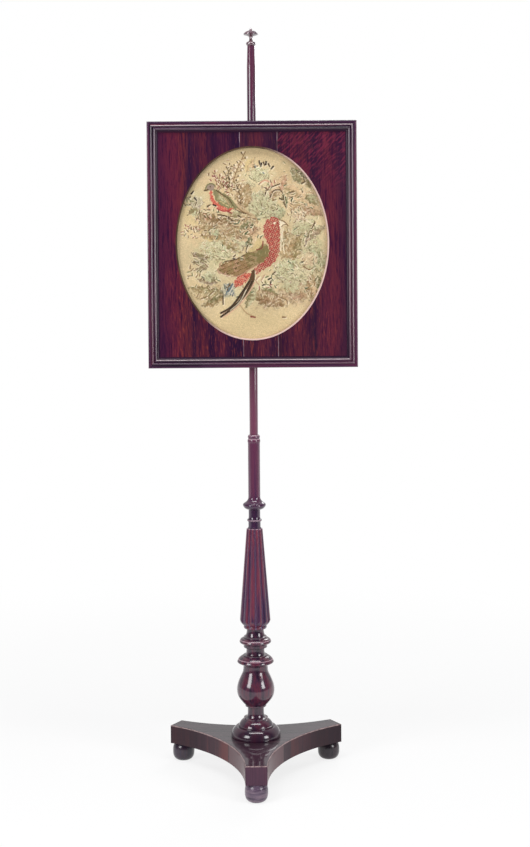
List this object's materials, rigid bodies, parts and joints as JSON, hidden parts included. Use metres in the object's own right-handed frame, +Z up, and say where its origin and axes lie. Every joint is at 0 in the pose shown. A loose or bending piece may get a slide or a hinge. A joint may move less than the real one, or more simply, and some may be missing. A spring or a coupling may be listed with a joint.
{
  "type": "pole screen",
  "caption": "Upright fire screen: framed oval needlework panel that slides and turns on a pole, over a reeded and turned stem and a three-legged platform on bun feet.",
  "frame": {"origin": "on the floor, on the axis of the pole", "axes": "+Z up along the pole; the panel's face looks along -Y, and +X is to the right of someone who faces it"},
  "size_m": [0.3928, 0.2924, 1.4125],
  "materials": {
    "rosewood": "French-polished rosewood, near-black figure",
    "rosewood_moulding": "French-polished rosewood moulding",
    "rosewood_veneer": "French-polished figured rosewood veneer",
    "mahogany": "oiled mahogany",
    "old_brass": "lacquered brass, dulled with age",
    "needlework": "wool needlework on canvas"
  },
  "bodies": {
    "stand": {"base_platform": "rosewood", "foot_front": "rosewood", "foot_left": "rosewood", "foot_right": "rosewood", "tenon_wedge": "mahogany", "stem_baluster": "rosewood", "reeded_shaft": "rosewood", "pole_socket": "rosewood"},
    "pole_assembly": {"pole": "rosewood", "finial": "rosewood"},
    "screen_panel": {"frame_top_rail": "rosewood_moulding", "frame_bottom_rail": "rosewood_moulding", "frame_left_stile": "rosewood_moulding", "frame_right_stile": "rosewood_moulding", "veneer_leaf_left": "rosewood_veneer", "veneer_leaf_centre": "rosewood_veneer", "veneer_leaf_right": "rosewood_veneer", "ground_board": "mahogany", "oval_slip": "rosewood", "needlework": "needlework", "canvas_board": "mahogany", "backboard": "mahogany", "backboard_screws": "old_brass", "upper_bracket": "old_brass", "lower_bracket": "old_brass", "bracket_screws": "old_brass"},
    "height_screw": {"thumbscrew": "old_brass"}
  },
  "joints": [
    {"name": "pole_turn", "type": "hinge", "parent": "stand", "child": "pole_assembly", "pos_m": [0, 0, 0.5809], "axis": [0, 0, 1], "continuous": true},
    {"name": "panel_slide", "type": "slide", "parent": "pole_assembly", "child": "screen_panel", "axis": [0, 0, 1], "range_m": [-0.145, 0.16]},
    {"name": "thumbscrew_turn", "type": "hinge", "parent": "screen_panel", "child": "height_screw", "pos_m": [0, 0.0147, 1.2076], "axis": [0, 1, 0], "range_deg": [0, 360]}
  ]
}
